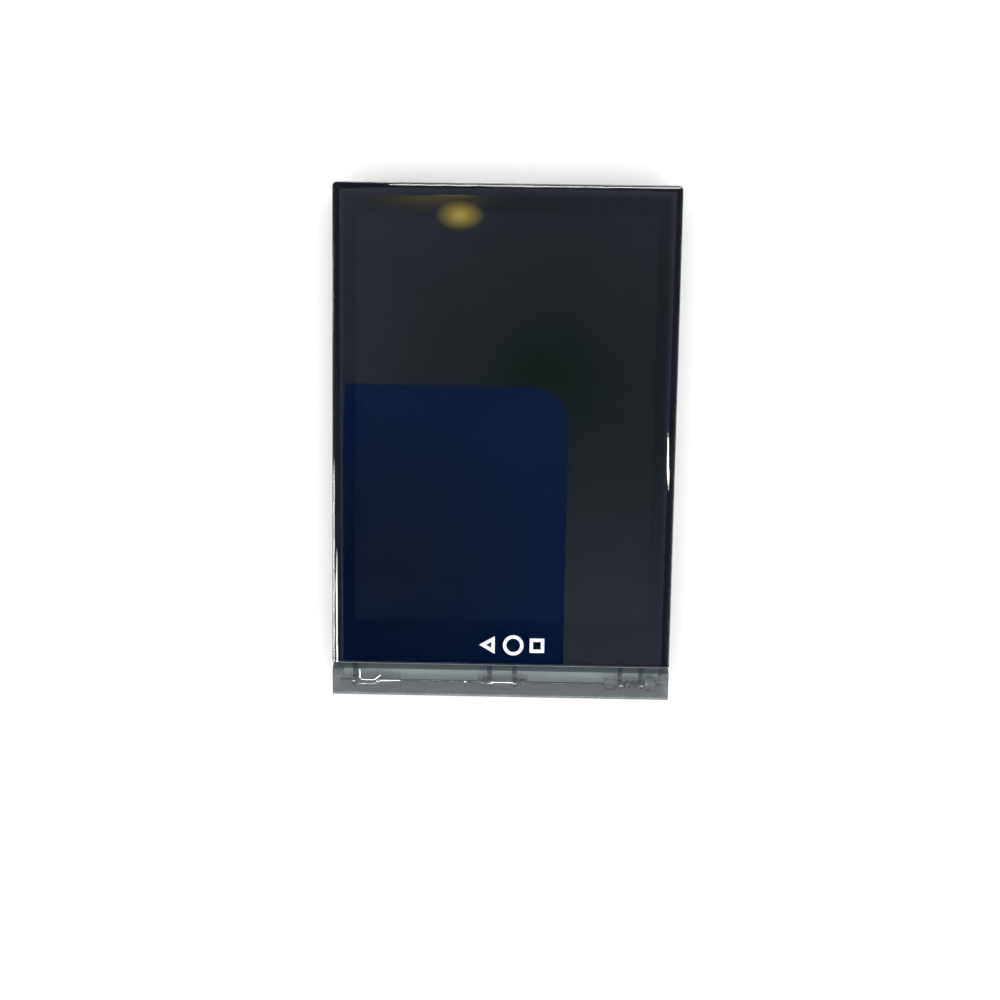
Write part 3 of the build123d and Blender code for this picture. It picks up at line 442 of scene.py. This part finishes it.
def touch_symbol(name, corners, turn, centre):
    """A thin outlined shape printed on the glass."""
    low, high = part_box("front_glass")
    place = (centre, low.y + SYMBOL_UP, high.z + SYMBOL_LIFT)
    bench_clear()
    bpy.ops.mesh.primitive_circle_add(
        vertices=corners, radius=SYMBOL_RADIUS, fill_type="NGON", location=place
    )
    symbol = bpy.context.active_object
    symbol.name = name
    symbol.rotation_euler.z = turn
    bpy.ops.object.transform_apply(location=True, rotation=True, scale=True)
    bpy.ops.object.mode_set(mode="EDIT")
    bpy.ops.mesh.select_all(action="SELECT")
    bpy.ops.mesh.inset(thickness=SYMBOL_LINE)
    bpy.ops.mesh.delete(type="FACE")
    solidify(symbol, SYMBOL_THICKNESS)
    hand_over(symbol, "body", [white_print])


def touch_symbols():
    """Back, home and recent symbols under the display."""
    touch_symbol("back_symbol", 3, math.radians(90), -1.4 * MM)
    touch_symbol("home_symbol", 40, 0, 1.6 * MM)
    touch_symbol("recent_symbol", 4, math.radians(45), 4.6 * MM)


# ---- Smoke-coloured door -------------------------------------------------------------------------

PIN_FROM_END = 1.5 * MM
# Width of the painted shade band along the glass edge.
PAINTED_SHADE_BAND = 0.95 * MM
# Width of the painted light lip line next to the glass.
LIP_GLINT_BAND = 0.36 * MM
# Reach of the painted darker pocket walls round the pin.
POCKET_SHADE_RADIUS = 1.2 * MM
POCKET_FLOOR = 1.1 * MM
FLOOR_SPREAD = 0.02 * MM
PLATE_DROP = 2 * MM
END_WALL = 0.2 * MM
# Where the painted light on the bracket legs begins.
LIGHT_PAINT_FROM_PIN = 0.75 * MM
# Indices of the door's finishes; the third and fourth are painted shade, and the last is also a painted
# highlight on the lip next to the glass.
CLEAR, FROSTED, PAINTED_SHADE, POCKET_SHADE, PLATE, END_AND_LIP_GLINT = range(6)
BEAD_X = -4.5 * MM
BEAD_RADIUS = 0.27 * MM
BEAD_LENGTH = 0.42 * MM
BEAD_ROUND = 0.13 * MM


def door_shell():
    """The see-through door over the hinge pin, cloudier at its ends and its underside, with painted shade in
    a dark band along the glass edge and on its pocket walls round the pin, and a painted highlight in a light
    lip line next to the glass.
    """
    shell = merged_copy("card_door", "door_shell")
    low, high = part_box("card_door")
    pin_low, pin_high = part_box("hinge_pin")
    pin_level = (pin_low.z + pin_high.z) / 2
    pin_end = low.y + PIN_FROM_END
    painted_shade_line = high.y - PAINTED_SHADE_BAND
    lip_glint_line = high.y - LIP_GLINT_BAND
    for line in (painted_shade_line, lip_glint_line):
        choose(shell, "FACE", lambda centre, normal: True)
        bpy.ops.mesh.bisect(plane_co=(0, line, 0), plane_no=(0, 1, 0))
    bpy.ops.object.mode_set(mode="OBJECT")
    for face in shell.data.polygons:
        centre, normal = face.center, face.normal
        from_pin = math.hypot(centre.y - pin_end, centre.z - pin_level)
        if normal.z < -0.9 and abs(centre.z - (pin_level - POCKET_FLOOR)) < FLOOR_SPREAD:
            face.material_index = FROSTED
        # Painted highlight: a light lip line next to the glass.
        elif centre.y > lip_glint_line and centre.z > pin_level:
            face.material_index = END_AND_LIP_GLINT
        # Painted shade band along the glass edge.
        elif centre.y > painted_shade_line and centre.z > pin_level:
            face.material_index = PAINTED_SHADE
        # Painted shade on the pocket walls round the pin.
        elif from_pin < POCKET_SHADE_RADIUS:
            face.material_index = POCKET_SHADE
        elif normal.z < -0.3 and centre.z < low.z + MM:
            face.material_index = FROSTED
        elif centre.z < pin_level - PLATE_DROP or normal.y < -0.3:
            face.material_index = PLATE
        elif abs(normal.x) > 0.9 and abs(centre.x) > high.x - END_WALL:
            face.material_index = END_AND_LIP_GLINT
        else:
            face.material_index = CLEAR
    smooth(shell)
    looks = [face.material_index for face in shell.data.polygons]
    plastics = [finishes["smoke_plastic"], frosted_smoke, painted_shade_smoke, pocket_shade_smoke, plate_smoke, end_and_lip_glint_smoke]
    hand_over(shell, "door", plastics, ["card_door"], looks)


def hinge_eyes():
    """The bracket eyes, bare steel round the pin, and a pale, nearly clear finish where their legs run back
    to the casing, a painted light that cancels the shade under the door.
    """
    eyes = merged_copy("hinge_brackets", "hinge_eyes")
    pin_low, pin_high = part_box("hinge_pin")
    light_paint_line = (pin_low.y + pin_high.y) / 2 + LIGHT_PAINT_FROM_PIN
    choose(eyes, "FACE", lambda centre, normal: True)
    bpy.ops.mesh.bisect(plane_co=(0, light_paint_line, 0), plane_no=(0, 1, 0))
    smooth(eyes)
    painted = []
    for face in eyes.data.polygons:
        # Painted light on the bracket legs.
        painted.append(int(face.center.y > light_paint_line or face.center.z < pin_low.z - MM))
    hand_over(eyes, "body", [aged_steel, leg_fill_light_paint], ["hinge_brackets"], painted)


def thumb_bead():
    """A small bead crimped on the hinge wire left of the middle."""
    pin_low, pin_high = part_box("hinge_pin")
    middle = (pin_low + pin_high) / 2
    bench_clear()
    bpy.ops.mesh.primitive_cylinder_add(
        vertices=24, radius=BEAD_RADIUS, depth=BEAD_LENGTH,
        location=(BEAD_X, middle.y, middle.z), rotation=(0, math.pi / 2, 0),
    )
    bead = bpy.context.active_object
    bead.name = "wire_bead"
    bpy.ops.object.transform_apply(location=True, rotation=True, scale=True)
    choose(bead, "EDGE", lambda a, b: abs(a.x - b.x) < TINY)
    bpy.ops.mesh.bevel(offset=BEAD_ROUND, segments=4, affect="EDGES")
    smooth(bead)
    hand_over(bead, "door", [finishes["bright_steel"]])


# ---- Casing and keys -----------------------------------------------------------------------------

OUTER_SKIN = 0.02 * MM
CASING_BREAK = 0.06 * MM
KEY_BREAK = 0.05 * MM
DISH_RIM = 0.32 * MM
DISH_SLOPE = 0.10 * MM
DISH_DEPTH = 0.07 * MM
SQUARE_ON = 0.9999


def soften_edges(piece, width, degrees=40):
    """Breaks the sharp edges of the outer faces by a hair, so that they catch the light."""
    bench_clear()
    corners = [vertex.co.copy() for vertex in piece.data.vertices]
    limits = [(min(c[axis] for c in corners), max(c[axis] for c in corners)) for axis in range(3)]

    def outside(corner):
        gaps = [min(value - low, high - value) for value, (low, high) in zip(corner, limits)]
        return min(gaps) < OUTER_SKIN

    choose(piece, "EDGE", lambda a, b: False)
    bpy.ops.mesh.edges_select_sharp(sharpness=math.radians(degrees))
    bpy.ops.object.mode_set(mode="OBJECT")
    sharp = {tuple(edge.vertices) for edge in piece.data.edges if edge.select}
    for edge in piece.data.edges:
        is_outer = all(outside(corners[corner]) for corner in edge.vertices)
        edge.select = is_outer and tuple(edge.vertices) in sharp
    bpy.ops.object.mode_set(mode="EDIT")
    bpy.ops.transform.edge_bevelweight(value=1)
    take_up(piece)
    hair = add_modifier(piece, "BEVEL")
    hair.width = width
    hair.segments = 2
    hair.limit_method = "WEIGHT"
    hair.harden_normals = True
    bpy.ops.object.modifier_apply(modifier=hair.name)


def casing_shell(node, name):
    """One half of the casing with its edges broken."""
    shell = merged_copy(node, name)
    soften_edges(shell, CASING_BREAK)
    smooth(shell)
    hand_over(shell, "body", [finishes["casing"]], [node])


def side_key(node, name, outward):
    """A side key with a shallow dish pressed into its face."""
    key = merged_copy(node, name)
    low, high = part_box(node)
    face_x = high.x if outward > 0 else low.x

    def on_face(centre, normal):
        return abs(centre.x - face_x) < TINY and normal.x * outward > SQUARE_ON

    choose(key, "FACE", on_face)
    bpy.ops.mesh.inset(thickness=DISH_RIM)
    bpy.ops.mesh.inset(thickness=DISH_SLOPE, depth=-DISH_DEPTH)
    soften_edges(key, KEY_BREAK, 25)
    smooth(key)
    hand_over(key, node, [finishes["key_plastic"]], [node])


cover_glass_plate()
printed_border()
touch_symbols()
door_shell()
hinge_eyes()
thumb_bead()
casing_shell("mid_frame", "screen_frame")
casing_shell("rear_cover", "back_shell")
side_key("power_key", "power_button", 1)
side_key("volume_up_key", "volume_up_button", -1)
side_key("volume_down_key", "volume_down_button", -1)
for fitting in ("hinge_pin", "spring_plate", "pin_collars", "door_spring"):
    for material_slot in nodes[fitting].material_slots:
        material_slot.material = wire_steel


# ---- Floor, light and camera ---------------------------------------------------------------------

def floor():
    """A plain pale floor that the handheld lies on."""
    plane = add_plane("floor", 3.0, (0, 0, 0))
    plane.data.materials.append(
        mottled("floor_paint", (0.86, 0.86, 0.86), (0.88, 0.88, 0.88), (0.8, 0.9), 20 * MM)
    )


def world_light(strength):
    """Dim light from all round, in front of a backdrop that the camera sees white."""
    world = bpy.data.worlds.new("studio")
    bpy.context.scene.world = world
    world.use_nodes = True
    background = world.node_tree.nodes["Background"]
    background.inputs["Color"].default_value = (0.93, 0.96, 1, 1)
    background.inputs["Strength"].default_value = strength
    seen = world.node_tree.nodes.new("ShaderNodeBackground")
    seen.inputs["Color"].default_value = WHITE
    seen.inputs["Strength"].default_value = 1.0
    ray = world.node_tree.nodes.new("ShaderNodeLightPath")
    either = world.node_tree.nodes.new("ShaderNodeMixShader")
    links = world.node_tree.links
    links.new(ray.outputs["Is Camera Ray"], either.inputs[0])
    links.new(background.outputs["Background"], either.inputs[1])
    links.new(seen.outputs["Background"], either.inputs[2])
    links.new(either.outputs["Shader"], world.node_tree.nodes["World Output"].inputs["Surface"])


def camera():
    """Looks down at the screen from a hand's span above it, tilted by seven degrees."""
    data = bpy.data.cameras.new("camera")
    data.sensor_width = 36.0
    data.lens = 49.516
    data.clip_start = 0.005
    data.clip_end = 20.0
    viewer = bpy.data.objects.new("camera", data)
    bpy.context.collection.objects.link(viewer)
    viewer.location = (2.42 * MM, 14.9 * MM, 180 * MM)
    viewer.rotation_euler = (math.radians(-7.174), math.radians(1.034), math.radians(0.834))
    bpy.context.scene.camera = viewer


def glow_card(name, place, size, middle, edge, fade=0.0, rounded=0.0):
    """A card hung above the handheld that only shows in its gloss, and that can fade away towards its rim."""
    card = add_plane(name, 1.0, place)
    card.scale = (size[0], size[1], 1)
    bpy.ops.object.transform_apply(location=False, rotation=False, scale=True)
    if rounded:
        choose(card, "VERT", lambda corner: True)
        bpy.ops.mesh.bevel(offset=rounded, segments=10, affect="VERTICES")
        bpy.ops.object.mode_set(mode="OBJECT")
    material, tree, shader = new_material(name + "_light")
    coordinates = tree.nodes.new("ShaderNodeTexCoord")
    mapping = tree.nodes.new("ShaderNodeMapping")
    mapping.inputs["Scale"].default_value = (2 / size[0], 2 / size[1], 1)
    fall = tree.nodes.new("ShaderNodeTexGradient")
    fall.gradient_type = "SPHERICAL"
    ramp = tree.nodes.new("ShaderNodeValToRGB")
    ramp.color_ramp.elements[0].position = 0.0
    ramp.color_ramp.elements[0].color = (*edge, 1)
    ramp.color_ramp.elements[1].position = 1.0
    ramp.color_ramp.elements[1].color = (*middle, 1)
    tree.links.new(coordinates.outputs["Object"], mapping.inputs["Vector"])
    tree.links.new(mapping.outputs["Vector"], fall.inputs["Vector"])
    tree.links.new(fall.outputs["Fac"], ramp.inputs["Fac"])
    tree.links.new(ramp.outputs["Color"], shader.inputs["Emission Color"])
    if fade:
        cover = tree.nodes.new("ShaderNodeMapRange")
        cover.inputs["From Max"].default_value = fade
        tree.links.new(fall.outputs["Fac"], cover.inputs["Value"])
        tree.links.new(cover.outputs["Result"], shader.inputs["Alpha"])
    shader.inputs["Base Color"].default_value = BLACK
    shader.inputs["Specular IOR Level"].default_value = 0
    shader.inputs["Emission Strength"].default_value = 1
    card.data.materials.append(material)
    card.visible_camera = False
    card.visible_diffuse = False
    card.visible_shadow = False


NEUTRAL = (1, 1, 1)


def add_lamp(name, kind, towards):
    """A lamp of that kind, turned to shine along a direction."""
    data = bpy.data.lights.new(name, kind)
    lamp = bpy.data.objects.new(name, data)
    bpy.context.collection.objects.link(lamp)
    lamp.rotation_euler = Vector(towards).to_track_quat("-Z", "Y").to_euler()
    lamp.visible_camera = False
    return lamp


def gloss_lamp(name, place, target, size, brightness, colour=NEUTRAL, shape="RECTANGLE"):
    """A lamp of that brightness that faces target and only makes streaks on gloss."""
    lamp = add_lamp(name, "AREA", Vector(target) - Vector(place))
    lamp.location = place
    lamp.data.shape = shape
    lamp.data.size, lamp.data.size_y = size
    lamp.data.energy = brightness * math.pi * size[0] * size[1]
    lamp.data.color = colour
    lamp.visible_diffuse = False


def sun(name, strength, towards, width):
    """A very wide soft sun that lights the floor evenly out to its edge."""
    lamp = add_lamp(name, "SUN", towards)
    lamp.data.energy = strength
    lamp.data.angle = math.radians(width)
    lamp.visible_glossy = False


floor()
world_light(0.17)
sun("soft_sun", 4.0, (-0.05, 0.05, -1), 90)
DAYLIGHT = (1.0, 0.98, 0.94)
LAMPLIGHT = (1.0, 0.92, 0.80)
PALE_LAMPLIGHT = (1.0, 0.95, 0.85)
WARM_LAMPLIGHT = (1.0, 0.86, 0.62)
GLASS_MIDDLE = (0, -0.02, 0)
GLASS_TOP = (0, 0.03, 0)
GLASS_FOOT = (0, -0.03, 0)
glow_card("ceiling_card", (0.02, -0.03, 1.0), (0.9, 0.9), (0.0, 0.05, 0.0), (0.70, 0.72, 1.05))
glow_card("warm_glow_card", (-0.051, 0.103, 0.96), (0.040, 0.024), (6.5, 5.0, 0.9), (4.5, 3.4, 0.7), 0.9)
glow_card("warm_haze_card", (-0.075, 0.125, 0.97), (0.13, 0.040), (1.6, 1.3, 0.5), (1.0, 0.8, 0.4), 1.0)
glow_card(
    "blue_glow_card", (-0.105, -0.182, 0.98), (0.289, 0.296), (0, 0, 0.10), (0, 0.07, 0.50), rounded=0.03
)
gloss_lamp("left_high_window", (-0.72, -0.25, 0.72), GLASS_MIDDLE, (0.25, 0.22), 30)
gloss_lamp("left_low_window", (-1.0, -0.25, 0.20), GLASS_MIDDLE, (0.29, 0.34), 26)
gloss_lamp("far_window", (0.03, 0.95, 0.40), GLASS_TOP, (0.285, 0.26), 22, DAYLIGHT)
gloss_lamp("far_warm_lamp", (-0.098, 0.70, 0.69), GLASS_TOP, (0.026, 0.40), 50, LAMPLIGHT, "ELLIPSE")
gloss_lamp("far_small_lamp", (-0.153, 0.70, 0.69), GLASS_TOP, (0.014, 0.20), 16, PALE_LAMPLIGHT, "ELLIPSE")
gloss_lamp("right_warm_lamp", (0.41, -0.03, 1.0), GLASS_FOOT, (0.05, 0.46), 44, WARM_LAMPLIGHT, "ELLIPSE")
gloss_lamp("front_window", (0.1, -0.9, 0.45), GLASS_FOOT, (0.6, 0.16), 12)
gloss_lamp("front_high_window", (0.0, -0.50, 0.86), GLASS_FOOT, (0.6, 0.20), 22)
camera()
bpy.context.scene.view_settings.view_transform = "Standard"
